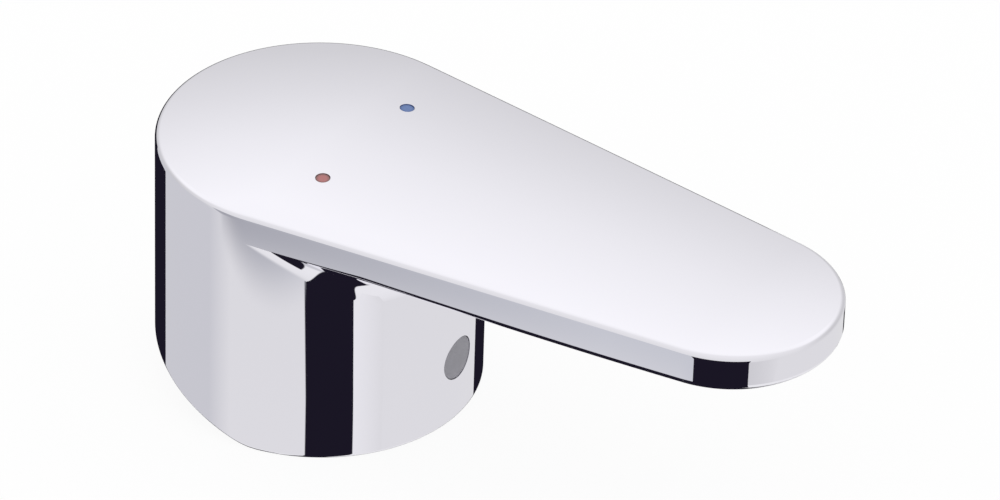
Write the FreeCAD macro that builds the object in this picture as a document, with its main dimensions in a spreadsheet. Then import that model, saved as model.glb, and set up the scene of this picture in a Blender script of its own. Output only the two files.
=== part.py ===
import FreeCAD, Part
import math
import os
import Sketcher

# Tap handle: a hollow round skirt whose domed top runs out into a flat tapering lever.
# Origin on the stem axis in the plane of the skirt's rim, +X along the lever, +Z up, millimetres.

# Driving sizes: name, value, what it is
SIZES = (
    ("drum_radius", 23.0, "outside of the round skirt"),
    ("skirt_wall", 2.5, "thickness of the skirt"),
    ("edge_height", 38.5, "rim to the edge of the top face"),
    ("crown_radius", 174.0, "curvature of the domed top"),
    ("top_wall", 3.0, "edge of the top face down to the ceiling of the hollow"),
    ("lever_reach", 65.4, "stem axis to the centre of the lever's round tip"),
    ("tip_radius", 15.4, "round tip of the lever"),
    ("side_inset", 0.05, "side of the lever inside the line that would just touch the skirt"),
    ("root_depth", 4.5, "edge of the top face down to the underside at the skirt"),
    ("tip_depth", 4.8, "edge of the top face down to the underside beyond the tip"),
    ("underside_radius", 770.0, "slight sag of the lever's underside along its length"),
    ("cove_radius", 2.5, "cove between the skirt and the lever's underside"),
    ("edge_round", 0.8, "rounding of the top edge"),
    ("rim_chamfer", 0.3, "broken outer edge of the rim"),
    ("relief_start", 2.9, "stem axis to the line where the rim starts to rise"),
    ("relief_angle", 16.2, "rise of the rim's back half, clearance for lifting the lever"),
    ("ceiling_chamfer", 2.0, "sloped corners where the hollow meets its ceiling"),
    ("boss_radius", 9.0, "boss that holds the stem"),
    ("boss_foot", 5.0, "rim to the lower end of the boss"),
    ("socket_side", 8.2, "square socket for the stem, across the flats"),
    ("socket_depth", 20.0, "length of the socket"),
    ("screw_height", 10.0, "rim to the axis of the screw and its cover"),
    ("screw_radius", 3.0, "set screw over its thread"),
    ("screw_length", 8.0, "set screw from end to end"),
    ("screw_setback", 0.3, "wall of the socket to the point of the screw"),
    ("screw_chamfer", 0.6, "chamfer at both ends of the screw"),
    ("screw_key", 3.0, "hexagon socket of the screw, across the flats"),
    ("key_depth", 3.5, "depth of that hexagon socket"),
    ("thread_clearance", 0.05, "screw to its hole"),
    ("cover_radius", 3.25, "hole in the skirt for the cover"),
    ("cover_clearance", 0.05, "cover to its hole, and below the skirt's surface"),
    ("cover_face", 1.2, "thickness of the cover's front"),
    ("cover_wall", 1.0, "thickness of the cover's tube"),
    ("bead_rise", 0.25, "snap bead beyond the hole"),
    ("bead_width", 1.0, "snap bead along the cover"),
    ("bead_gap", 0.5, "snap bead behind the skirt's inner wall"),
    ("mark_radius", 1.05, "recess of a temperature mark"),
    ("mark_depth", 0.5, "depth of that recess"),
    ("mark_forward", 7.0, "stem axis to the marks, along the lever"),
    ("mark_aside", 10.4, "stem axis to the marks, across the lever"),
    ("mark_clearance", 0.03, "enamel to the wall of its recess, and below the top face"),
    ("allowance", 4.0, "stock that the cuts run past"),
)

# Heights and lengths worked out from the driving sizes
HEAD_CENTRE = "(Sizes.edge_height - sqrt(Sizes.crown_radius^2 - Sizes.drum_radius^2))"
TIP_CENTRE = "(Sizes.edge_height - sqrt(Sizes.crown_radius^2 - Sizes.tip_radius^2))"
CROWN_LEAN = f"atan(({HEAD_CENTRE} - {TIP_CENTRE}) / Sizes.lever_reach)"
CROWN_SWEEP = "4 * asin(Sizes.drum_radius / Sizes.crown_radius)"
ROOT_UNDERSIDE = "(Sizes.edge_height - Sizes.root_depth)"
COVE_END = "(Sizes.drum_radius + Sizes.cove_radius)"
LEVER_END = "(Sizes.lever_reach + Sizes.tip_radius)"
STOCK_END = f"({LEVER_END} + Sizes.allowance)"
STOCK_BACK = "(Sizes.drum_radius + Sizes.allowance)"
STOCK_TOP = "(Sizes.edge_height + Sizes.allowance)"
INNER_RADIUS = "(Sizes.drum_radius - Sizes.skirt_wall)"
CEILING = "(Sizes.edge_height - Sizes.top_wall)"
SIDE_REACH = "(Sizes.drum_radius - Sizes.side_inset)"
TAPER = f"(({SIDE_REACH} - Sizes.tip_radius) / Sizes.lever_reach)"
SIDE_ANGLE = f"(acos({TAPER}) - acos({SIDE_REACH} / Sizes.drum_radius))"
SCREW_POINT = "(Sizes.socket_side / 2 + Sizes.screw_setback)"
MARK_FLOOR = (f"({HEAD_CENTRE} + sqrt(Sizes.crown_radius^2 - Sizes.mark_forward^2"
              " - Sizes.mark_aside^2) - Sizes.mark_depth)")

doc = FreeCAD.newDocument("tap_handle")


def make_sheet():
    sheet = doc.addObject("Spreadsheet::Sheet", "Sizes")
    for row, (name, size, meaning) in enumerate(SIZES, start=1):
        sheet.set(f"A{row}", name)
        sheet.set(f"B{row}", str(size))
        sheet.set(f"C{row}", meaning)
        sheet.setAlias(f"B{row}", name)
    doc.recompute()
    return sheet


def bind(feature, **expressions):
    for name, expression in expressions.items():
        feature.setExpression(name, expression)


def make_body(name):
    body = doc.addObject("PartDesign::Body", name)
    body.Label = name
    return body


def make_sketch(body, name, role):
    sketch = body.newObject("Sketcher::SketchObject", name)
    plane = next(item for item in body.Origin.OriginFeatures if item.Role == role)
    sketch.AttachmentSupport = [(plane, "")]
    sketch.MapMode = "FlatFace"
    return sketch


def value(expression):
    return float(sizes.evalExpression(expression.replace("Sizes.", "")))


def fix_point(sketch, geometry, end, across, up):
    """Tie one point of a sketch to the sketch's origin by two expressions."""
    for kind, expression, axis in (("DistanceX", across, -2), ("DistanceY", up, -1)):
        if expression == "0":
            sketch.addConstraint(Sketcher.Constraint("PointOnObject", geometry, end, axis))
        else:
            distance = Sketcher.Constraint(kind, -1, 1, geometry, end, value(expression))
            index = sketch.addConstraint(distance)
            sketch.setExpression(f"Constraints[{index}]", expression)


def fix_radius(sketch, geometry, expression):
    index = sketch.addConstraint(Sketcher.Constraint("Radius", geometry, value(expression)))
    sketch.setExpression(f"Constraints[{index}]", expression)


def draw_outline(sketch, corners, arcs=None):
    """Draw a closed outline through corners given as expressions.

    arcs maps the number of a corner to the arc that leaves it: radius, centre and turn,
    with turn 1 for anticlockwise and -1 for clockwise.
    """
    arcs = arcs or {}
    points = [FreeCAD.Vector(value(across), value(up), 0) for across, up in corners]
    ends = []
    for number, start in enumerate(points):
        stop = points[(number + 1) % len(points)]
        if number not in arcs:
            line = sketch.addGeometry(Part.LineSegment(start, stop))
            ends.append(((line, 1), (line, 2)))
            continue
        radius, centre_across, centre_up, turn = arcs[number]
        centre = FreeCAD.Vector(value(centre_across), value(centre_up), 0)
        circle = Part.Circle(centre, FreeCAD.Vector(0, 0, 1), value(radius))
        angles = [math.atan2(p.y - centre.y, p.x - centre.x) for p in (start, stop)[::turn]]
        arc = sketch.addGeometry(Part.ArcOfCircle(circle, *angles))
        ends.append(((arc, 1), (arc, 2))[::turn])
    for number, (start, stop) in enumerate(ends):
        following = ends[(number + 1) % len(ends)][0]
        sketch.addConstraint(Sketcher.Constraint("Coincident", *stop, *following))
        fix_point(sketch, *start, *corners[number])
    for number, (radius, *_) in arcs.items():
        fix_radius(sketch, ends[number][0][0], radius)


def draw_circle(sketch, radius, across="0", up="0"):
    centre = FreeCAD.Vector(value(across), value(up), 0)
    circle = sketch.addGeometry(Part.Circle(centre, FreeCAD.Vector(0, 0, 1), value(radius)))
    fix_point(sketch, circle, 3, across, up)
    fix_radius(sketch, circle, radius)


def draw_axis(sketch, start, stop):
    """Draw a construction line that a feature turns about."""
    ends = [FreeCAD.Vector(value(across), value(up), 0) for across, up in (start, stop)]
    line = sketch.addGeometry(Part.LineSegment(*ends), True)
    fix_point(sketch, line, 1, *start)
    fix_point(sketch, line, 2, *stop)


def turn_feature(body, kind, name, sketch, axis, angle=None):
    """Turn a sketch all round, or by an angle that spreads equally to both sides."""
    feature = body.newObject(f"PartDesign::{kind}", name)
    feature.Profile = sketch
    feature.ReferenceAxis = (sketch, [axis])
    feature.Angle = 360.0
    if angle:
        feature.Midplane = True
        bind(feature, Angle=angle)


def pad_up(body, name, sketch, length):
    pad = body.newObject("PartDesign::Pad", name)
    pad.Profile = sketch
    bind(pad, Length=length)


def cut_through(body, name, sketch):
    """Cut a sketch through the whole body, both ways from its plane."""
    pocket = body.newObject("PartDesign::Pocket", name)
    pocket.Profile = sketch
    pocket.SideType = "Symmetric"
    pocket.Type = "ThroughAll"


def cut_up(body, name, sketch, length):
    pocket = body.newObject("PartDesign::Pocket", name)
    pocket.Profile = sketch
    pocket.Reversed = True
    bind(pocket, Length=length)


def cut_crown(body, sink="0"):
    """Dome the top: balls over the round head and the round tip, joined by a straight barrel."""
    radius = f"(Sizes.crown_radius - {sink})"
    forward = f"{radius} * sin({CROWN_LEAN})"
    upward = f"{radius} * cos({CROWN_LEAN})"
    beyond = "(Sizes.tip_radius + Sizes.allowance)"
    sky = f"({STOCK_TOP} + Sizes.allowance)"
    corners = (
        (f"-{STOCK_BACK}", f"{HEAD_CENTRE} + sqrt({radius}^2 - {STOCK_BACK}^2)"),
        (forward, f"{HEAD_CENTRE} + {upward}"),
        (f"Sizes.lever_reach + {forward}", f"{TIP_CENTRE} + {upward}"),
        (STOCK_END, f"{TIP_CENTRE} + sqrt({radius}^2 - {beyond}^2)"),
        (STOCK_END, sky),
        (f"-{STOCK_BACK}", sky),
    )
    arcs = {
        0: (radius, "0", HEAD_CENTRE, -1),
        2: (radius, "Sizes.lever_reach", TIP_CENTRE, -1),
    }
    sketch = make_sketch(body, f"{body.Name}_crown_side", "XZ_Plane")
    draw_outline(sketch, corners, arcs)
    draw_axis(sketch, ("0", HEAD_CENTRE), ("Sizes.lever_reach", TIP_CENTRE))
    turn_feature(body, "Groove", f"{body.Name}_crown", sketch, "Axis0", CROWN_SWEEP)


def lever_plan(sketch):
    """Plan of the handle: the round head, the round tip and the lever's sides that join them."""
    slope = f"sqrt(1 - {TAPER}^2)"
    head = (f"Sizes.drum_radius * cos({SIDE_ANGLE})", f"Sizes.drum_radius * sin({SIDE_ANGLE})")
    tip = (f"Sizes.lever_reach + Sizes.tip_radius * {TAPER}", f"Sizes.tip_radius * {slope}")
    corners = (head, (head[0], f"-{head[1]}"), (tip[0], f"-{tip[1]}"), tip)
    arcs = {
        0: ("Sizes.drum_radius", "0", "0", 1),
        2: ("Sizes.tip_radius", "Sizes.lever_reach", "0", 1),
    }
    draw_outline(sketch, corners, arcs)


def make_casting():
    body = make_body("handle_casting")

    # Block with the plan of head and lever
    plan = make_sketch(body, "plan", "XY_Plane")
    lever_plan(plan)
    pad_up(body, "block", plan, STOCK_TOP)

    # Space under the lever, turned about the stem axis: skirt, cove and the lever's underside.
    # It reaches a little beyond the lines where the lever's sides leave the skirt.
    under = make_sketch(body, "under_side", "XZ_Plane")
    cove_foot = f"({ROOT_UNDERSIDE} - Sizes.cove_radius)"
    sag_centre = f"({COVE_END} + {STOCK_END}) / 2"
    draw_outline(under, (
        ("Sizes.drum_radius", "-Sizes.allowance"),
        ("Sizes.drum_radius", cove_foot),
        (COVE_END, ROOT_UNDERSIDE),
        (STOCK_END, "Sizes.edge_height - Sizes.tip_depth"),
        (STOCK_END, "-Sizes.allowance"),
    ), {
        1: ("Sizes.cove_radius", COVE_END, cove_foot, -1),
        2: ("Sizes.underside_radius", sag_centre, f"{ROOT_UNDERSIDE} + Sizes.underside_radius", 1),
    })
    turn_feature(body, "Groove", "under_lever", under, "V_Axis", f"2 * acos({TAPER})")

    # Domed top with its rounded edge
    cut_crown(body)
    doc.recompute()
    domed = body.Tip
    edge_height = value("Sizes.edge_height")
    level = 0.3
    rounded = []
    for number, edge in enumerate(domed.Shape.Edges, start=1):
        box = edge.BoundBox
        if max(abs(box.ZMin - edge_height), abs(box.ZMax - edge_height)) < level:
            rounded.append(f"Edge{number}")
    top_edge = body.newObject("PartDesign::Fillet", "top_edge")
    top_edge.Base = (domed, rounded)
    bind(top_edge, Radius="Sizes.edge_round")

    # Back half of the rim cut away so that the lever can lift
    relief = make_sketch(body, "relief_side", "XZ_Plane")
    draw_outline(relief, (
        ("Sizes.relief_start", "0"),
        (f"-{STOCK_BACK}", f"({STOCK_BACK} + Sizes.relief_start) * tan(Sizes.relief_angle)"),
        (f"-{STOCK_BACK}", "-Sizes.allowance"),
        ("Sizes.relief_start", "-Sizes.allowance"),
    ))
    cut_through(body, "relief", relief)

    # Hollow skirt with the boss left standing in it
    hollow = make_sketch(body, "hollow_side", "XZ_Plane")
    draw_outline(hollow, (
        ("0", "-Sizes.allowance"),
        (INNER_RADIUS, "-Sizes.allowance"),
        (INNER_RADIUS, f"{CEILING} - Sizes.ceiling_chamfer"),
        (f"{INNER_RADIUS} - Sizes.ceiling_chamfer", CEILING),
        ("Sizes.boss_radius + Sizes.ceiling_chamfer", CEILING),
        ("Sizes.boss_radius", f"{CEILING} - Sizes.ceiling_chamfer"),
        ("Sizes.boss_radius", "Sizes.boss_foot"),
        ("0", "Sizes.boss_foot"),
    ))
    turn_feature(body, "Groove", "hollow", hollow, "V_Axis")

    # Square socket for the stem
    socket = make_sketch(body, "socket_plan", "XY_Plane")
    half = "Sizes.socket_side / 2"
    draw_outline(socket, ((half, half), (f"-{half}", half), (f"-{half}", f"-{half}"), (half, f"-{half}")))
    cut_up(body, "socket", socket, "Sizes.boss_foot + Sizes.socket_depth")

    # Stepped bore: the screw's hole in the boss, then the cover's hole in the skirt
    bore = make_sketch(body, "bore_side", "XZ_Plane")
    step = f"(Sizes.boss_radius + {INNER_RADIUS}) / 2"
    draw_outline(bore, (
        ("0", "Sizes.screw_height"),
        (STOCK_BACK, "Sizes.screw_height"),
        (STOCK_BACK, "Sizes.screw_height + Sizes.cover_radius"),
        (step, "Sizes.screw_height + Sizes.cover_radius"),
        (step, "Sizes.screw_height + Sizes.screw_radius"),
        ("0", "Sizes.screw_height + Sizes.screw_radius"),
    ))
    draw_axis(bore, ("0", "Sizes.screw_height"), (STOCK_BACK, "Sizes.screw_height"))
    turn_feature(body, "Groove", "bore", bore, "Axis0")

    # Recesses for the two temperature marks
    recess = make_sketch(body, "recess_plan", "XY_Plane")
    bind(recess, **{"AttachmentOffset.Base.z": MARK_FLOOR})
    for side in ("", "-"):
        draw_circle(recess, "Sizes.mark_radius", "Sizes.mark_forward", f"{side}Sizes.mark_aside")
    cut_up(body, "recess", recess, "Sizes.allowance")

    # Broken outer edge of the rim
    rim = make_sketch(body, "rim_side", "XZ_Plane")
    beyond = "Sizes.drum_radius + Sizes.allowance"
    draw_outline(rim, (
        ("Sizes.drum_radius - Sizes.rim_chamfer", "0"),
        ("Sizes.drum_radius - Sizes.rim_chamfer", "-Sizes.allowance"),
        (beyond, "-Sizes.allowance"),
        (beyond, "Sizes.rim_chamfer + Sizes.allowance"),
    ))
    turn_feature(body, "Groove", "rim_edge", rim, "V_Axis")
    return body


def make_screw():
    """Set screw with a hexagon socket, threaded into the front wall of the boss."""
    along = FreeCAD.Rotation(FreeCAD.Vector(0, 1, 0), 90)
    rod = doc.addObject("Part::Cylinder", "screw_rod")
    bind(rod, Radius="Sizes.screw_radius - Sizes.thread_clearance", Height="Sizes.screw_length")
    doc.recompute()
    ends = doc.addObject("Part::Chamfer", "screw_ends")
    ends.Base = rod
    chamfer = value("Sizes.screw_chamfer")
    rims = [n for n, edge in enumerate(rod.Shape.Edges, start=1) if edge.Curve.TypeId == "Part::GeomCircle"]
    ends.Edges = [(number, chamfer, chamfer) for number in rims]
    key = doc.addObject("Part::Prism", "screw_key_socket")
    key.Polygon = 6
    bind(key, Circumradius="Sizes.screw_key / sqrt(3)", Height="Sizes.key_depth + Sizes.allowance")
    bind(key, **{"Placement.Base.z": "Sizes.screw_length - Sizes.key_depth"})
    screw = doc.addObject("Part::Cut", "grub_screw")
    screw.Base = ends
    screw.Tool = key
    screw.Label = "grub_screw"
    screw.Placement = FreeCAD.Placement(FreeCAD.Vector(0, 0, 0), along)
    bind(screw, **{"Placement.Base.x": SCREW_POINT, "Placement.Base.z": "Sizes.screw_height"})
    return screw


def make_cover():
    """Moulded plug: a short tube with a closed front, held by a bead behind the skirt."""
    body = make_body("screw_cover")
    side = make_sketch(body, "cover_side", "XZ_Plane")
    axis = "Sizes.screw_height"
    tube = f"{axis} + Sizes.cover_radius - Sizes.cover_clearance"
    bead = f"{axis} + Sizes.cover_radius + Sizes.bead_rise"
    bore = f"{tube} - Sizes.cover_wall"
    bead_front = f"{INNER_RADIUS} - Sizes.bead_gap"
    back = f"{bead_front} - Sizes.bead_width"
    floor = "Sizes.drum_radius - Sizes.cover_face"
    draw_outline(side, (
        (floor, axis), (STOCK_BACK, axis), (STOCK_BACK, tube), (bead_front, tube), (bead_front, bead),
        (back, bead), (back, bore), (floor, bore),
    ))
    draw_axis(side, (floor, axis), (STOCK_BACK, axis))
    turn_feature(body, "Revolution", "cover_stock", side, "Axis0")
    flush = make_sketch(body, "cover_flush_plan", "XY_Plane")
    draw_circle(flush, "Sizes.drum_radius - Sizes.cover_clearance")
    draw_circle(flush, f"{STOCK_BACK} + Sizes.allowance")
    cut_through(body, "cover_flush", flush)
    return body


def make_mark(name, side):
    """Enamel that fills one of the recesses in the top."""
    body = make_body(name)
    plan = make_sketch(body, f"{name}_plan", "XY_Plane")
    bind(plan, **{"AttachmentOffset.Base.z": MARK_FLOOR})
    radius = "Sizes.mark_radius - Sizes.mark_clearance"
    draw_circle(plan, radius, "Sizes.mark_forward", f"{side}Sizes.mark_aside")
    pad_up(body, f"{name}_fill", plan, "2 * Sizes.mark_depth")
    cut_crown(body, "Sizes.mark_clearance")
    return body


def check_model(parts):
    """Stop where a feature failed, a cut took nothing away or a sub-part is no sound solid."""
    least_cut = 1e-3
    for item in doc.Objects:
        if "Invalid" in item.State or "Error" in item.State:
            raise RuntimeError(f"{item.Name} failed: {item.State}")
        if item.TypeId in ("PartDesign::Pocket", "PartDesign::Groove"):
            removed = item.BaseFeature.Shape.Volume - item.Shape.Volume
            if removed < least_cut:
                raise RuntimeError(f"{item.Name} cut nothing")
    for part in parts:
        if part.Shape.isNull() or not part.Shape.isValid() or len(part.Shape.Solids) != 1:
            raise RuntimeError(f"{part.Label} is not one valid solid")


sizes = make_sheet()
sub_parts = [
    make_casting(),
    make_screw(),
    make_cover(),
    make_mark("hot_mark", "-"),
    make_mark("cold_mark", ""),
]
doc.recompute()
check_model(sub_parts)
os.makedirs("parts", exist_ok=True)
for sub_part in sub_parts:
    sub_part.Shape.exportStep(f"parts/{sub_part.Label}.step")
    box = sub_part.Shape.BoundBox
    print(sub_part.Label, "volume", round(sub_part.Shape.Volume, 1),
          "x", round(box.XMin, 2), round(box.XMax, 2), "y", round(box.YMin, 2), round(box.YMax, 2),
          "z", round(box.ZMin, 2), round(box.ZMax, 2))
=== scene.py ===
import math

import bpy
from mathutils import Matrix, Vector


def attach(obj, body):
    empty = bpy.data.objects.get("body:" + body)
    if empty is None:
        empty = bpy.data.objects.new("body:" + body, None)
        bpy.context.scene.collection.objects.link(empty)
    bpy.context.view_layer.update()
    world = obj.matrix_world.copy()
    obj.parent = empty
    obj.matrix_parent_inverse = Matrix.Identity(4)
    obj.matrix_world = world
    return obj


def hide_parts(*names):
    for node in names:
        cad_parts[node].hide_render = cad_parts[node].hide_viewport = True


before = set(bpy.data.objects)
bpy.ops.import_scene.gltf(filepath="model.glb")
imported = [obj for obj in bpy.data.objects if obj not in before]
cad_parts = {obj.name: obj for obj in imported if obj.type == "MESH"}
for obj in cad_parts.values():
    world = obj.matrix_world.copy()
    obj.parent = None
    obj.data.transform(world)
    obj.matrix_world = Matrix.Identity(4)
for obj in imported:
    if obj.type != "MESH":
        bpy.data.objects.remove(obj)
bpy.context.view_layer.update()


# Handle casting: round skirt, domed top and flat lever in one zinc casting, chromed after polishing.
# The plan is a large circle and a small one joined by straight sides; one profile follows it all round,
# over the top, down the side, under the lever into the cove, down the skirt and up into the hollow.
MM = 0.001


class Wire:
    """A socket of a node tree that can be used in sums like a number."""

    def __init__(self, tree, socket=None):
        self.tree = tree
        self.socket = socket

    def node(self, kind, settings=None, sockets=None, output=0):
        """Add a node: its settings first, then the values or links of its sockets."""
        made = self.tree.nodes.new(kind)
        for name, setting in (settings or {}).items():
            if name == "stops":
                ramp = made.color_ramp.elements
                while len(ramp) < len(setting):
                    ramp.new(1.0)
                for element, (place, shade) in zip(ramp, setting):
                    element.position = place
                    element.color = (*shade, 1.0)
            else:
                setattr(made, name, setting)
        for port, given in (sockets or {}).items():
            for item in given if isinstance(given, list) else [given]:
                if isinstance(item, Wire):
                    self.tree.links.new(item.socket, made.inputs[port])
                else:
                    made.inputs[port].default_value = item
        return Wire(self.tree, made.outputs[output])

    def __add__(self, other):
        return sums("ADD", self, other)

    def __radd__(self, other):
        return sums("ADD", other, self)

    def __sub__(self, other):
        return sums("SUBTRACT", self, other)

    def __rsub__(self, other):
        return sums("SUBTRACT", other, self)

    def __mul__(self, other):
        return sums("MULTIPLY", self, other)

    def __rmul__(self, other):
        return sums("MULTIPLY", other, self)

    def __truediv__(self, other):
        return sums("DIVIDE", self, other)

    def __rtruediv__(self, other):
        return sums("DIVIDE", other, self)


def sums(operation, *values):
    """Math node on sockets and numbers."""
    board = next(item for item in values if isinstance(item, Wire))
    return board.node("ShaderNodeMath", {"operation": operation}, dict(enumerate(values)))


def sine(angle):
    return sums("SINE", angle)


def cosine(angle):
    return sums("COSINE", angle)


def root(square):
    return sums("SQRT", square)


def length(x, y):
    return root(x * x + y * y)


def between(value, low, high):
    return sums("MINIMUM", sums("MAXIMUM", value, low), high)


def eased(share):
    """Slow start and stop, so that rows crowd together beside the roundings."""
    return share * share * (3.0 - 2.0 * share)


def blend(share, first, second):
    """Colour between two others."""
    return share.node("ShaderNodeMix", {"data_type": "RGBA"}, {0: share, 6: first, 7: second}, 2)


def form_tree(name, sizes):
    """Geometry node tree with one named input for each size; gives the board and the inputs."""
    tree = bpy.data.node_groups.new(name, "GeometryNodeTree")
    for size in sizes:
        tree.interface.new_socket(size, in_out="INPUT", socket_type="NodeSocketFloat")
    tree.interface.new_socket("Geometry", in_out="OUTPUT", socket_type="NodeSocketGeometry")
    ports = tree.nodes.new("NodeGroupInput")
    return Wire(tree), [Wire(tree, ports.outputs[size]) for size in sizes]


def profile_sheet(board, columns, stretches):
    """Sheet of points whose columns run round a piece and whose rows run along its profile.

    Gives the sheet, the number of the column and, for each named stretch of the profile, how much of it
    lies behind a row.
    """
    rows = sum(count for _, count in stretches)
    sheet = board.node("GeometryNodeMeshGrid", None, {"Vertices X": columns + 1, "Vertices Y": rows + 1})
    index = board.node("GeometryNodeInputIndex")
    column = sums("FLOOR", (index + 0.5) / (rows + 1))
    row = index - column * (rows + 1)
    part = {}
    first = 0
    for name, count in stretches:
        part[name] = between((row - first) / count, 0.0, 1.0)
        first += count
    return sheet, column, part


def close_sheet(board, sheet, x, y, z):
    """Move the points of a sheet to their places and close its seam and poles."""
    seam = 0.0008 * MM
    place = board.node("ShaderNodeCombineXYZ", None, {0: x, 1: y, 2: z})
    moved = board.node("GeometryNodeSetPosition", None, {0: sheet, "Position": place})
    return board.node("GeometryNodeMergeByDistance", None, {0: moved, "Distance": seam})


def finish_form(board, geometry, material):
    """End a tree: loose copies made real, the material put on, the result sent out."""
    real = board.node("GeometryNodeRealizeInstances", None, {0: geometry})
    finished = board.node("GeometryNodeSetMaterial", None, {0: real, "Material": material})
    outlet = board.tree.nodes.new("NodeGroupOutput")
    board.tree.links.new(finished.socket, outlet.inputs[0])


def make_piece(name, tree, sizes, sharp=math.radians(32)):
    """Run a tree with its sizes and keep the result as a plain mesh."""
    maker = bpy.data.objects.new(f"{name}_maker", bpy.data.meshes.new(f"{name}_maker"))
    bpy.context.scene.collection.objects.link(maker)
    modifier = maker.modifiers.new("form", "NODES")
    modifier.node_group = tree
    ports = {item.name: item.identifier for item in tree.interface.items_tree if item.in_out == "INPUT"}
    for size, value in sizes.items():
        modifier[ports[size]] = value
    bpy.context.view_layer.update()
    depsgraph = bpy.context.evaluated_depsgraph_get()
    mesh = bpy.data.meshes.new_from_object(maker.evaluated_get(depsgraph))
    maker.modifiers.remove(modifier)
    bpy.data.objects.remove(maker)
    mesh.name = name
    mesh.shade_smooth()
    mesh.set_sharp_from_angle(angle=sharp)
    piece = bpy.data.objects.new(name, mesh)
    bpy.context.scene.collection.objects.link(piece)
    return piece


def make_material(name):
    """Empty material with its shader; gives the material, the board and the shader's sockets."""
    material = bpy.data.materials.new(name)
    material.use_nodes = True
    shader = next(node for node in material.node_tree.nodes if node.type == "BSDF_PRINCIPLED")
    return material, Wire(material.node_tree), shader.inputs


def feed(board, port, wire):
    board.tree.links.new(wire.socket, port)


SKIRT = {
    "Head Radius": 23.0 * MM,
    "Lever Reach": 65.4 * MM,
    "Tip Radius": 15.4 * MM,
    "Edge Height": 38.5 * MM,
    "Crown Radius": 174.0 * MM,
    "Top Rounding": 0.8 * MM,
    "Lower Rounding": 2.1 * MM,
    "Root Underside": 34.0 * MM,
    "Underside Fall": 0.3 * MM,
    "Underside Sag": 0.57 * MM,
    "Cove Radius": 7.4 * MM,
    "Relief Start": 2.9 * MM,
    "Relief Slope": math.tan(math.radians(16.2)),
    "Rim Rounding": 0.4 * MM,
    "Inner Radius": 20.5 * MM,
    "Ceiling": 35.5 * MM,
    "Ceiling Corner": 2.0 * MM,
    "Boss Radius": 9.0 * MM,
    "Boss Foot": 5.0 * MM,
}

chrome, board, shader = make_material("polished_chrome")
spot = board.node("ShaderNodeTexCoord", output=3)
x, y, z = (board.node("ShaderNodeSeparateXYZ", None, {0: spot}, axis) for axis in range(3))
soft = 0.1 * MM
inner_wall, ceiling = SKIRT["Inner Radius"] + soft, SKIRT["Ceiling"] + soft
hollow = (board.node("ShaderNodeMapRange", None, {0: length(x, y), 1: inner_wall + soft, 2: inner_wall})
          * board.node("ShaderNodeMapRange", None, {0: z, 1: ceiling + soft, 2: ceiling}))
haze = board.node("ShaderNodeTexNoise", None, {"Vector": spot, "Scale": 90.0, "Detail": 3.0})
grain = board.node("ShaderNodeTexNoise", None, {"Vector": spot, "Scale": 1400.0, "Detail": 2.0})
polish = 0.012 + haze * 0.012
cast_skin = 0.28 + grain * 0.2
feed(board, shader["Roughness"], polish + hollow * cast_skin)
polished, as_cast = (0.938, 0.925, 0.985, 1.0), (0.42, 0.42, 0.43, 1.0)
feed(board, shader["Base Color"], blend(hollow, polished, as_cast))
feed(board, shader["Normal"], board.node(
    "ShaderNodeBump", None, {"Strength": 0.25, "Distance": 0.05 * MM, "Height": grain * hollow}))
shader["Metallic"].default_value = 1.0

board, skirt_inputs = form_tree("handle_casting_form", SKIRT)
(head, reach, tip, edge, crown, top_round, low_round, root_z, fall, sag, cove, relief, slope,
 rim_round, inner, roof, corner, boss, foot) = skirt_inputs

# Columns run round the plan: head, one side, tip, other side
HEAD_STEPS, SIDE_STEPS, TIP_STEPS = 120, 64, 96
columns = HEAD_STEPS + 2 * SIDE_STEPS + TIP_STEPS
# Rows run along the profile, in this order
STRETCHES = (
    ("top", 18), ("top_edge", 8), ("side", 8), ("low_edge", 10), ("under", 18), ("cove", 14), ("wall", 26),
    ("rim_edge", 9), ("rim", 3), ("inside", 14), ("roof_edge", 2), ("roof", 5), ("boss_edge", 2),
    ("boss", 14), ("foot", 4))
sheet, column, part = profile_sheet(board, columns, STRETCHES)

# Plan: centre, radius and outward direction at each column
touch = sums("ARCCOSINE", (head - tip) / reach)
side_length = root(reach * reach - (head - tip) * (head - tip))
side_angle = sums("ARCTANGENT", side_length / head)
around_head = between(column / HEAD_STEPS, 0.0, 1.0)
along_first = between((column - HEAD_STEPS) / SIDE_STEPS, 0.0, 1.0)
around_tip = between((column - (HEAD_STEPS + SIDE_STEPS)) / TIP_STEPS, 0.0, 1.0)
along_second = between((column - (HEAD_STEPS + SIDE_STEPS + TIP_STEPS)) / SIDE_STEPS, 0.0, 1.0)
facing = touch + around_head * (2.0 * math.pi - 2.0 * touch) + around_tip * 2.0 * touch
forward = head * sums("TANGENT", (along_first - along_second) * side_angle) / side_length
centre = forward * reach
radius = head + (tip - head) * forward
out_x, out_y = cosine(facing), sine(facing)


def plan_point(inset):
    return centre + (radius - inset) * out_x, (radius - inset) * out_y


# Domed top: a ball over the head and one over the tip, joined by a barrel
head_ball = edge - root(crown * crown - head * head)
tip_ball = edge - root(crown * crown - tip * tip)
lean = (head_ball - tip_ball) / reach
lean_sine = lean / root(1.0 + lean * lean)


def dome(x, y):
    across = crown * crown - y * y
    along = between(x - root(across) * lean_sine, 0.0, reach)
    return head_ball - along * lean + root(across - (x - along) * (x - along))


# Underside of the lever, which sags slightly between skirt and tip
NEAR, FAR = 25.5 * MM, 84.8 * MM


def underside(r):
    middle = (r - (NEAR + FAR) / 2) / ((FAR - NEAR) / 2)
    return root_z - fall * (r - NEAR) / (FAR - NEAR) - sag * (1.0 - middle * middle)


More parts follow.
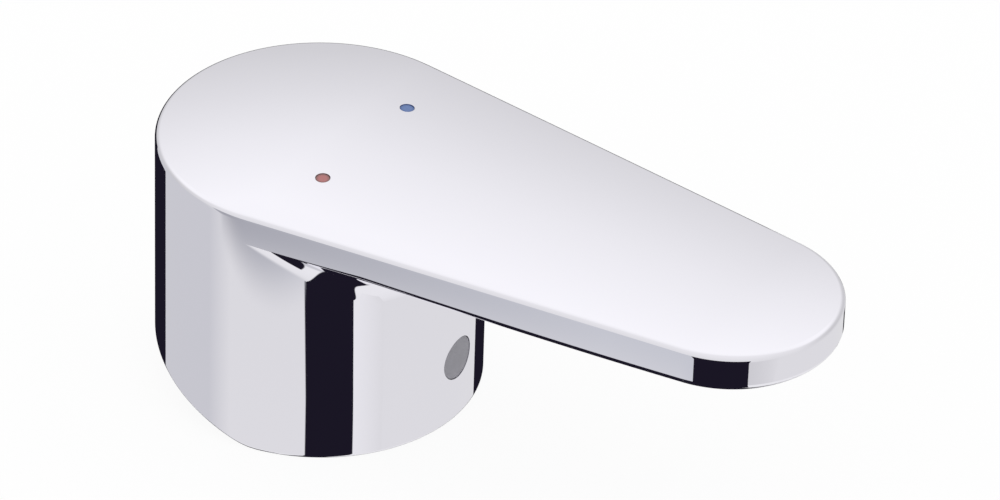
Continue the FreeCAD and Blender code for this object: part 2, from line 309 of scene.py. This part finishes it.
# Top face and its rounded edge
top_part = 1.0 - sums("POWER", 1.0 - part["top"], 2.0)
tilt_sine = (radius - top_round) / (crown - top_round)
tilt = sums("ARCSINE", tilt_sine)
bend = tilt + part["top_edge"] * (math.pi / 2 - tilt)
top_inset = (1.0 - top_part) * (radius - top_round * (1.0 - tilt_sine)) + top_round * (1.0 - tilt_sine)
edge_inset = top_inset - top_round * (sine(bend) - tilt_sine)
top_z = dome(*plan_point(top_inset))
side_top = dome(*plan_point(top_round * (1.0 - tilt_sine))) - top_round * cosine(tilt)

# Side of the lever and its rounded lower edge, which fades out where the lever leaves the skirt
overhang = length(*plan_point(0.0)) - head
LOW_SHARE, LOW_DROP, LOW_START = 0.35, 0.44, math.radians(15.0)
low_radius = sums("MINIMUM", low_round, overhang * LOW_SHARE)
lowered = low_radius * LOW_DROP
low_bend = LOW_START + part["low_edge"] * (math.pi / 2 - LOW_START)
plan_x, plan_y = plan_point(edge_inset + low_radius * (math.cos(LOW_START) - cosine(low_bend)))
low_x, low_y = plan_point(low_radius * math.cos(LOW_START))
low_reach = length(low_x, low_y)
low_z = underside(low_reach) - lowered
outer_z = (top_z + top_round * (cosine(bend) - cosine(tilt))
           + eased(part["side"]) * (low_z + low_radius * (1.0 - math.sin(LOW_START)) - side_top)
           - low_radius * (sine(low_bend) - math.sin(LOW_START)))

# Underside in to the cove, cove, skirt, rim and the hollow with its boss
cove_reach = between(low_reach - head, 0.0, cove)
cove_bend = sums("ARCCOSINE", 1.0 - cove_reach / cove)
cove_left = cove_bend * (1.0 - part["cove"])
under_reach = low_reach + eased(part["under"]) * (head + cove_reach - low_reach)
cove_foot = underside(head + cove_reach) - lowered - cove * sine(cove_bend)
RELIEF_BLEND = 0.8 * MM
rim_bend = part["rim_edge"] * (math.pi / 2)
rim_reach = head - rim_round * (1.0 - cosine(rim_bend)) - part["rim"] * (head - rim_round - inner)


def rim_height(r):
    """The front half of the rim is flat and the back half rises, with a soft bend between them."""
    return sums("SMOOTH_MAX", (relief - r * low_x / low_reach) * slope, 0.0, RELIEF_BLEND)


turn_reach = (under_reach + cove * (cosine(cove_bend) - cosine(cove_left)) + (rim_reach - head)
              - (part["roof_edge"] + part["boss_edge"]) * corner
              - part["roof"] * (inner - boss - 2.0 * corner) - part["foot"] * boss)
turn_z = (outer_z + underside(under_reach) - underside(low_reach)
          - cove * (sine(cove_bend) - sine(cove_left))
          + eased(part["wall"]) * (rim_height(head) + rim_round - cove_foot)
          + rim_height(rim_reach) - rim_height(head) - rim_round * sine(rim_bend)
          + part["inside"] * (roof - corner - rim_height(inner))
          + (part["roof_edge"] - part["boss_edge"]) * corner - part["boss"] * (roof - corner - foot))
spread = turn_reach / low_reach
shell = close_sheet(board, sheet, plan_x * spread, plan_y * spread, turn_z)


def cutter(kind, sockets, place, turn=(0.0, 0.0, 0.0)):
    form = board.node(kind, None, sockets)
    return board.node("GeometryNodeTransform", None, {0: form, "Translation": place, "Rotation": turn})


# Holes: cover and screw through the front, square stem socket from below, two recesses in the top
SCREW_HEIGHT = 10.0 * MM
MARK_X, MARK_Y, MARK_FLOOR = 7.0 * MM, 10.4 * MM, 39.075 * MM
COVER_HOLE, SCREW_HOLE, MARK_HOLE = 3.25 * MM, 3.0 * MM, 1.05 * MM
step_x, outside_x = 14.75 * MM, 27.0 * MM
screw_start, screw_stop = 1.0 * MM, 13.0 * MM
SOCKET_WIDTH = 8.2 * MM
socket_start, socket_stop = -3.0 * MM, 25.0 * MM
mark_cut = 4.0 * MM
across = (0.0, math.pi / 2, 0.0)
cuts = [
    cutter("GeometryNodeMeshCylinder",
           {"Vertices": 128, "Radius": COVER_HOLE, "Depth": outside_x - step_x},
           ((step_x + outside_x) / 2, 0.0, SCREW_HEIGHT), across),
    cutter("GeometryNodeMeshCylinder",
           {"Vertices": 96, "Radius": SCREW_HOLE, "Depth": screw_stop - screw_start},
           ((screw_start + screw_stop) / 2, 0.0, SCREW_HEIGHT), across),
    cutter("GeometryNodeMeshCube", {"Size": (SOCKET_WIDTH, SOCKET_WIDTH, socket_stop - socket_start)},
           (0.0, 0.0, (socket_start + socket_stop) / 2)),
]
for side in (-1, 1):
    cuts.append(cutter("GeometryNodeMeshCylinder", {"Vertices": 96, "Radius": MARK_HOLE, "Depth": mark_cut},
                       (MARK_X, side * MARK_Y, MARK_FLOOR + mark_cut / 2)))
shell = board.node("GeometryNodeMeshBoolean", {"operation": "DIFFERENCE", "solver": "EXACT"},
                   {"Mesh 1": shell, "Mesh 2": cuts})
finish_form(board, shell, chrome)
SHARP_FOLD = math.radians(12.5)
casting = make_piece("handle_body", board.tree, SKIRT, SHARP_FOLD)
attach(casting, "root")
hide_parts("handle_casting")


# Set screw: a stainless rod with a rolled M6 thread and a hexagon socket, cut off with chamfered ends.
# It sits in the tapped hole of the boss and clamps the stem.
SCREW = {
    "Start": 4.4 * MM,
    "Length": 8.0 * MM,
    "Thread Radius": 2.95 * MM,
    "Thread Depth": 0.55 * MM,
    "Pitch": 1.0 * MM,
    "Key Depth": 3.5 * MM,
    "Key Half Width": 1.5 * MM,
}
steel, board, shader = make_material("plain_stainless")
spot = board.node("ShaderNodeTexCoord", output=3)
turned = board.node("ShaderNodeMapping", None, {"Vector": spot, "Scale": (2600.0, 120.0, 120.0)})
marks = board.node("ShaderNodeTexNoise", None, {"Vector": turned, "Scale": 1.0, "Detail": 2.0})
feed(board, shader["Roughness"], 0.24 + marks * 0.16)
feed(board, shader["Base Color"], blend(marks, (0.40, 0.40, 0.41, 1.0), (0.56, 0.56, 0.57, 1.0)))
shader["Metallic"].default_value = 1.0

board, (start, long, thread, depth, pitch, key_depth, key) = form_tree("set_screw_form", SCREW)
ROUND, ALONG, ENDS = 72, 128, 4
STRETCHES = (
    ("point_face", ENDS), ("shank", ALONG), ("key_face", ENDS), ("key_wall", ENDS), ("key_floor", ENDS))
sheet, column, part = profile_sheet(board, ROUND, STRETCHES)
turn = column * (2.0 * math.pi / ROUND)
shank = part["shank"]
ridge = sums("PINGPONG", shank * long / pitch + turn / (2.0 * math.pi), 0.5) * 2.0
from_end = sums("MINIMUM", shank, 1.0 - shank) * long
chamfer = between(from_end, 0.0, depth)
groove = 1.0 - between(ridge * 1.5 - 0.3, 0.0, 1.0)
crest = sums("MINIMUM", thread - depth + chamfer, thread - depth * groove)
sector = math.pi / 3
flat = sums("MODULO", turn, sector) - sector / 2
hexagon = key / cosine(flat)
radius = part["point_face"] * crest + part["key_face"] * (hexagon - crest) - part["key_floor"] * hexagon
rod = close_sheet(board, sheet, start + shank * long - part["key_wall"] * key_depth,
                  radius * cosine(turn), SCREW_HEIGHT + radius * sine(turn))
finish_form(board, rod, steel)
screw = make_piece("set_screw", board.tree, SCREW)
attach(screw, "root")
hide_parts("grub_screw")


# Screw cover: a moulded grey plug that snaps into the hole over the screw, its face curved with the skirt.
# A fine flow pattern and slightly rounded rim come from the mould.
COVER = {
    "Skirt Radius": 22.95 * MM,
    "Radius": 3.2 * MM,
    "Rim Rounding": 0.18 * MM,
    "Face": 1.15 * MM,
    "Wall": 1.0 * MM,
    "Bead Rise": 0.3 * MM,
    "Bead Front": 20.0 * MM,
    "Back": 19.0 * MM,
}
grey, board, shader = make_material("moulded_grey")
spot = board.node("ShaderNodeTexCoord", output=3)
flow = board.node("ShaderNodeTexNoise", None, {"Vector": spot, "Scale": 700.0, "Detail": 4.0})
fine = board.node("ShaderNodeTexNoise", None, {"Vector": spot, "Scale": 6000.0, "Detail": 2.0})
feed(board, shader["Base Color"], blend(flow, (0.275, 0.27, 0.30, 1.0), (0.345, 0.34, 0.375, 1.0)))
feed(board, shader["Roughness"], 0.42 + flow * 0.16)
feed(board, shader["Normal"], board.node(
    "ShaderNodeBump", None, {"Strength": 0.3, "Distance": 0.02 * MM, "Height": fine}))

board, (curve, plug, rim, face, wall, bead, bead_front, back) = form_tree("screw_cover_form", COVER)
ROUND = 96
STRETCHES = (
    ("front", 10), ("rim", 5), ("tube", 6), ("bead", 3), ("ring", 3), ("end", 3), ("bore", 5), ("floor", 5))
sheet, column, part = profile_sheet(board, ROUND, STRETCHES)
turn = column * (2.0 * math.pi / ROUND)
bend = part["rim"] * (math.pi / 2)
radius = (eased(part["front"]) * (plug - rim) + rim * sine(bend) + part["bead"] * bead
          - part["end"] * (bead + wall) - part["floor"] * (plug - wall))
side_y = radius * cosine(turn)
skin = root(curve * curve - side_y * side_y)
rim_skin = root(curve * curve - plug * plug * cosine(turn) * cosine(turn))
drop = (rim * (1.0 - cosine(bend)) + part["tube"] * (rim_skin - rim - bead_front)
        + part["ring"] * (bead_front - back))
rise = part["bore"] * (curve - face - back)
on_front = 1.0 - sums("CEIL", part["tube"])
cap = close_sheet(board, sheet, on_front * skin + (1.0 - on_front) * rim_skin - drop + rise,
                  side_y, SCREW_HEIGHT + radius * sine(turn))
finish_form(board, cap, grey)
cover = make_piece("moulded_cover", board.tree, COVER)
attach(cover, "root")
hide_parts("screw_cover")


# Temperature marks: drops of red and blue enamel that fill two round recesses in the top and are baked hard.
# The paint draws up a little at the wall, so each drop is hollow in the middle and darker at its rim.
MARK = {
    "Forward": MARK_X,
    "Aside": 0.0,
    "Floor": MARK_FLOOR,
    "Radius": 1.02 * MM,
    "Rim": 0.12 * MM,
    "Hollow": 0.03 * MM,
}
board, (mark_x, mark_y, floor_z, size, rim, dish) = form_tree("enamel_mark_form", MARK)
ROUND = 64
STRETCHES = (("floor", 3), ("wall", 4), ("rim", 5), ("face", 10))
sheet, column, part = profile_sheet(board, ROUND, STRETCHES)
turn = column * (2.0 * math.pi / ROUND)
bend = part["rim"] * (math.pi / 2)
radius = part["floor"] * size - rim * (1.0 - cosine(bend)) - part["face"] * (size - rim)
spot_x = mark_x + radius * cosine(turn)
spot_y = mark_y + radius * sine(turn)
# The paint ends just below the domed top round it
sunk_crown = SKIRT["Crown Radius"] - 0.03 * MM
crown_centre = SKIRT["Edge Height"] - math.sqrt(SKIRT["Crown Radius"] ** 2 - SKIRT["Head Radius"] ** 2)
skin = crown_centre + root(sunk_crown ** 2 - spot_x * spot_x - spot_y * spot_y)
lift = part["wall"] * (skin - rim - floor_z) + rim * sine(bend) - dish * eased(part["face"])
drop = close_sheet(board, sheet, spot_x, spot_y, floor_z + lift)
finish_form(board, drop, None)


def make_enamel(name, side, middle, rim_colour):
    """Gloss enamel that is deeper in colour where it gathers at the rim."""
    enamel, board, shader = make_material(name)
    spot = board.node("ShaderNodeTexCoord", output=3)
    x, y = (board.node("ShaderNodeSeparateXYZ", None, {0: spot}, axis) for axis in range(2))
    away = length(x - MARK_X, y - side * MARK_Y) / MARK["Radius"]
    speck = board.node("ShaderNodeTexNoise", None, {"Vector": spot, "Scale": 2500.0, "Detail": 3.0})
    gathered = between((away - 0.55) * 3.0 + (speck - 0.5) * 0.5, 0.0, 1.0)
    feed(board, shader["Base Color"], blend(gathered, middle, rim_colour))
    feed(board, shader["Roughness"], 0.16 + speck * 0.1)
    return enamel


ENAMELS = (
    ("hot_enamel", "hot_mark", "red_enamel", -1, (0.44, 0.16, 0.16, 1.0), (0.24, 0.115, 0.11, 1.0)),
    ("cold_enamel", "cold_mark", "blue_enamel", 1, (0.115, 0.19, 0.42, 1.0), (0.07, 0.13, 0.33, 1.0)),
)
for name, node, slot, side, middle, rim_colour in ENAMELS:
    enamel = make_enamel(f"{name}_paint", side, middle, rim_colour)
    mark = make_piece(name, board.tree, {**MARK, "Aside": side * MARK_Y})
    mark.data.materials.clear()
    mark.data.materials.append(enamel)
    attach(mark, "root")
    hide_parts(node)


# Camera: a long lens from the front left, fitted to the photograph's view.
TURN, RISE, ROLL = math.radians(58.3101), math.radians(34.9184), math.radians(-1.8637)
DISTANCE = 1.0
PIXELS_PER_MM, IMAGE_WIDTH = 7.1338, 1000.0
right = Vector((math.sin(TURN), math.cos(TURN), 0.0))
ahead = Vector((-math.cos(TURN), math.sin(TURN), 0.0))
view = ahead * math.cos(RISE) - Vector((0.0, 0.0, math.sin(RISE)))
up = ahead * math.sin(RISE) + Vector((0.0, 0.0, math.cos(RISE)))
TARGET_RIGHT, TARGET_UP = 24.8191 * MM, 16.3336 * MM
target = right * TARGET_RIGHT + up * TARGET_UP
lens_x = right * math.cos(ROLL) - up * math.sin(ROLL)
lens_y = right * math.sin(ROLL) + up * math.cos(ROLL)
camera = bpy.data.objects.new("camera", bpy.data.cameras.new("camera"))
bpy.context.scene.collection.objects.link(camera)
aim = Matrix((lens_x, lens_y, -view)).transposed().to_4x4()
camera.matrix_world = Matrix.Translation(target - view * DISTANCE) @ aim
camera.data.sensor_fit = "HORIZONTAL"
camera.data.sensor_width = 36.0
camera.data.lens = PIXELS_PER_MM / MM * DISTANCE * camera.data.sensor_width / IMAGE_WIDTH
camera.data.clip_start = 0.05
bpy.context.scene.camera = camera


# Table, cards and room: a pale table in an even white room. Black and grey cards stand close to the handle
# and out of the picture, and with black sheets on the floor of the room they give the chrome its dark lines.
TABLE_HALF, TABLE_TOP = 3.0, -0.2 * MM
table = bpy.data.objects.new("table", bpy.data.meshes.new("table"))
table.data.from_pydata([(x * TABLE_HALF, y * TABLE_HALF, TABLE_TOP)
                        for x, y in ((-1, -1), (1, -1), (1, 1), (-1, 1))], [], [(0, 1, 2, 3)])
bpy.context.scene.collection.objects.link(table)
pale, board, shader = make_material("pale_table")
shader["Base Color"].default_value = (0.96, 0.96, 0.96, 1.0)
shader["Roughness"].default_value = 0.9
matte = Wire(pale.node_tree, next(n for n in pale.node_tree.nodes if n.type == "BSDF_PRINCIPLED").outputs[0])
white = board.node("ShaderNodeEmission", None, {"Strength": 1.0})
seen = board.node("ShaderNodeLightPath", output=0)
OWN_GLOW = 0.92
mixed = board.node("ShaderNodeMixShader", None, {0: seen * OWN_GLOW, 1: matte, 2: white})
outlet = next(n for n in pale.node_tree.nodes if n.type == "OUTPUT_MATERIAL")
pale.node_tree.links.new(mixed.socket, outlet.inputs["Surface"])
table.data.materials.append(pale)
table.visible_glossy = False

toward = -ahead


def set_card(name, card_paint, *corners):
    """Flat card; its corners are given to the right of the stem axis, towards the camera and up."""
    card = bpy.data.objects.new(name, bpy.data.meshes.new(name))
    places = [right * across * MM + toward * near * MM + Vector((0.0, 0.0, z * MM))
              for across, near, z in corners]
    card.data.from_pydata(places, [], [range(len(places))])
    card.data.materials.append(card_paint)
    bpy.context.scene.collection.objects.link(card)
    card.visible_camera = card.visible_diffuse = card.visible_shadow = False


def upright(left, right_end, near, low, high):
    """Corners of an oblong card that faces the camera."""
    return (left, near, low), (right_end, near, low), (right_end, near, high), (left, near, high)


def make_card_paint(name, tones, ends=(0.0, 1.0), fade=None):
    """Even glow, so that a card keeps its tone whatever lights it.

    The tone changes between two places to the right of the stem axis; a fade gives the heights and the
    places between which the card comes in from nothing.
    """
    paint = bpy.data.materials.new(name)
    paint.use_nodes = True
    paint.node_tree.nodes.clear()
    board = Wire(paint.node_tree)
    spot = board.node("ShaderNodeTexCoord", output=3)
    x, y, z = (board.node("ShaderNodeSeparateXYZ", None, {0: spot}, axis) for axis in range(3))
    along = (x * right.x + y * right.y) / MM
    span = between((along - ends[0]) / (ends[1] - ends[0]), 0.0, 1.0)
    tone = blend(span, (*tones[0], 1.0), (*tones[1], 1.0))
    surface = board.node("ShaderNodeEmission", None, {"Color": tone})
    if fade:
        (low, high), (start, stop) = fade
        mask = (eased(between((z / MM - low) / (high - low), 0.0, 1.0))
                * eased(between((along - start) / (stop - start), 0.0, 1.0)))
        nothing = board.node("ShaderNodeBsdfTransparent")
        surface = board.node("ShaderNodeMixShader", None, {0: mask, 1: nothing, 2: surface})
    outlet = paint.node_tree.nodes.new("ShaderNodeOutputMaterial")
    paint.node_tree.links.new(surface.socket, outlet.inputs["Surface"])
    return paint


BLACK = (0.011, 0.009, 0.018)
black = make_card_paint("black_card", (BLACK, BLACK))
set_card("skirt_card", black, (-6.4, 60.0, 5.0), (12.0, 60.0, 5.0), (12.0, 60.0, -8.0), (-6.2, 60.0, -8.0))
light = make_card_paint("light_card", ((0.83, 0.83, 0.835), (0.745, 0.745, 0.745)), (26.0, 50.0))
set_card("light_card", light, (22.4, 60.5, 5.0), (52.0, 60.5, 5.0), (52.0, 60.5, -45.0), (24.4, 60.5, -45.0),
         (24.2, 60.5, -27.0))
set_card("tip_card", black, *upright(22.0, 73.0, 90.0, -10.0, 30.0))
set_card("tip_sheet", black, (36.0, 58.0, 10.0), (64.0, 62.0, 10.0), (62.0, 47.0, 10.0), (44.0, 44.0, 10.0))
dim = make_card_paint("dim_card", ((0.645, 0.645, 0.65), (0.745, 0.745, 0.745)), (76.0, 112.0))
set_card("dim_card", dim, *upright(73.0, 114.0, 90.5, -10.0, 14.0))
set_card("back_card", black, *upright(-90.0, 74.5, -60.0, -140.0, 40.0))
set_card("far_card", black, *upright(74.5, 104.0, -60.0, -44.0, 0.0))
graded = make_card_paint("grey_card", ((0.38, 0.385, 0.415), (0.59, 0.605, 0.635)), (-52.0, 8.0),
                         ((-4.0, 9.0), (-66.0, -60.0)))
set_card("side_card", graded, (-66.0, 34.5, -6.0), (28.5, 80.7, -6.0), (28.5, 80.7, 34.0),
         (-66.0, 34.5, 34.0))

world = bpy.data.worlds.new("studio")
bpy.context.scene.world = world
world.use_nodes = True
world.node_tree.nodes.clear()
board = Wire(world.node_tree)
mirrored = board.node("ShaderNodeLightPath", output=3)
direction = board.node("ShaderNodeTexCoord", output=0)
dx, dy, dz = (board.node("ShaderNodeSeparateXYZ", None, {0: direction}, axis) for axis in range(3))
sideways = dx * right.x + dy * right.y
near = dx * toward.x + dy * toward.y
height = (sums("ARCSINE", dz) * (180.0 / math.pi) + 90.0) / 180.0
never_zero = 0.000001
flatness = root(dx * dx + dy * dy + never_zero)
nearness = near / flatness
aside = sideways / flatness


def grey_stops(*pairs):
    """Stops of a ramp from degrees above the horizon and levels of grey."""
    return tuple(((degrees + 90.0) / 180.0, (level,) * 3) for degrees, level in pairs)


front = board.node("ShaderNodeValToRGB", {"stops": grey_stops(
    (-90, 0.85), (-60, 0.85), (-45, 0.82), (-35, 0.745), (-15, 0.76), (30, 0.8), (60, 0.84),
    (90, 0.86))}, {0: height})
rear = board.node("ShaderNodeValToRGB", {"stops": grey_stops(
    (-60, 0.85), (-35, 0.745), (0, 0.6), (20, 0.67), (28, 0.77), (36, 0.885), (45, 0.99), (60, 0.98),
    (90, 0.86))}, {0: height})
facing = between(nearness * 1.5 + 0.4, 0.0, 1.0)
studio = blend(facing, rear, front)

# The room is dimmer low on the left
dimmed = (between((0.45 - nearness) * 3.3, 0.0, 1.0) * between(-4.0 * aside, 0.0, 1.0)
          * between(-6.0 * dz, 0.0, 1.0))
studio = blend(dimmed, studio, (0.605, 0.61, 0.63, 1.0))


def within(margin):
    """One inside the edge of a sheet and nothing outside it."""
    edge_width = 1.0 / 120.0
    return between(margin / edge_width, 0.0, 1.0)


# Three black sheets lie low: to the left, a curved strip in front, and behind. Their edges are set by
# how far a direction goes sideways, towards the camera and up.
left_sheet = within(-0.27 - sideways) * within(-0.848 - dz)
strip_slant = between((-0.59 - dz) * 2.2, -0.04, 0.0)


def strip_edge(square, slope, start):
    return near * near * square + near * slope + start + strip_slant


strip = (within(sideways - strip_edge(0.215, -0.065, -0.192))
         * within(strip_edge(0.869, -0.241, 0.0756) - sideways) * within(-0.5 - dz) * within(near + 0.45))
rear_sheet = within(-0.12 - near) * within(0.1 - sideways) * within(-0.77 - dz)
studio = blend(sums("MAXIMUM", left_sheet, sums("MAXIMUM", strip, rear_sheet)), studio, (*BLACK, 1.0))
shade = blend(mirrored, (1.0, 1.0, 1.0, 1.0), studio)
light = board.node("ShaderNodeBackground", None, {"Color": shade, "Strength": 1.0})
outlet = world.node_tree.nodes.new("ShaderNodeOutputWorld")
world.node_tree.links.new(light.socket, outlet.inputs["Surface"])
bpy.context.scene.view_settings.view_transform = "Standard"
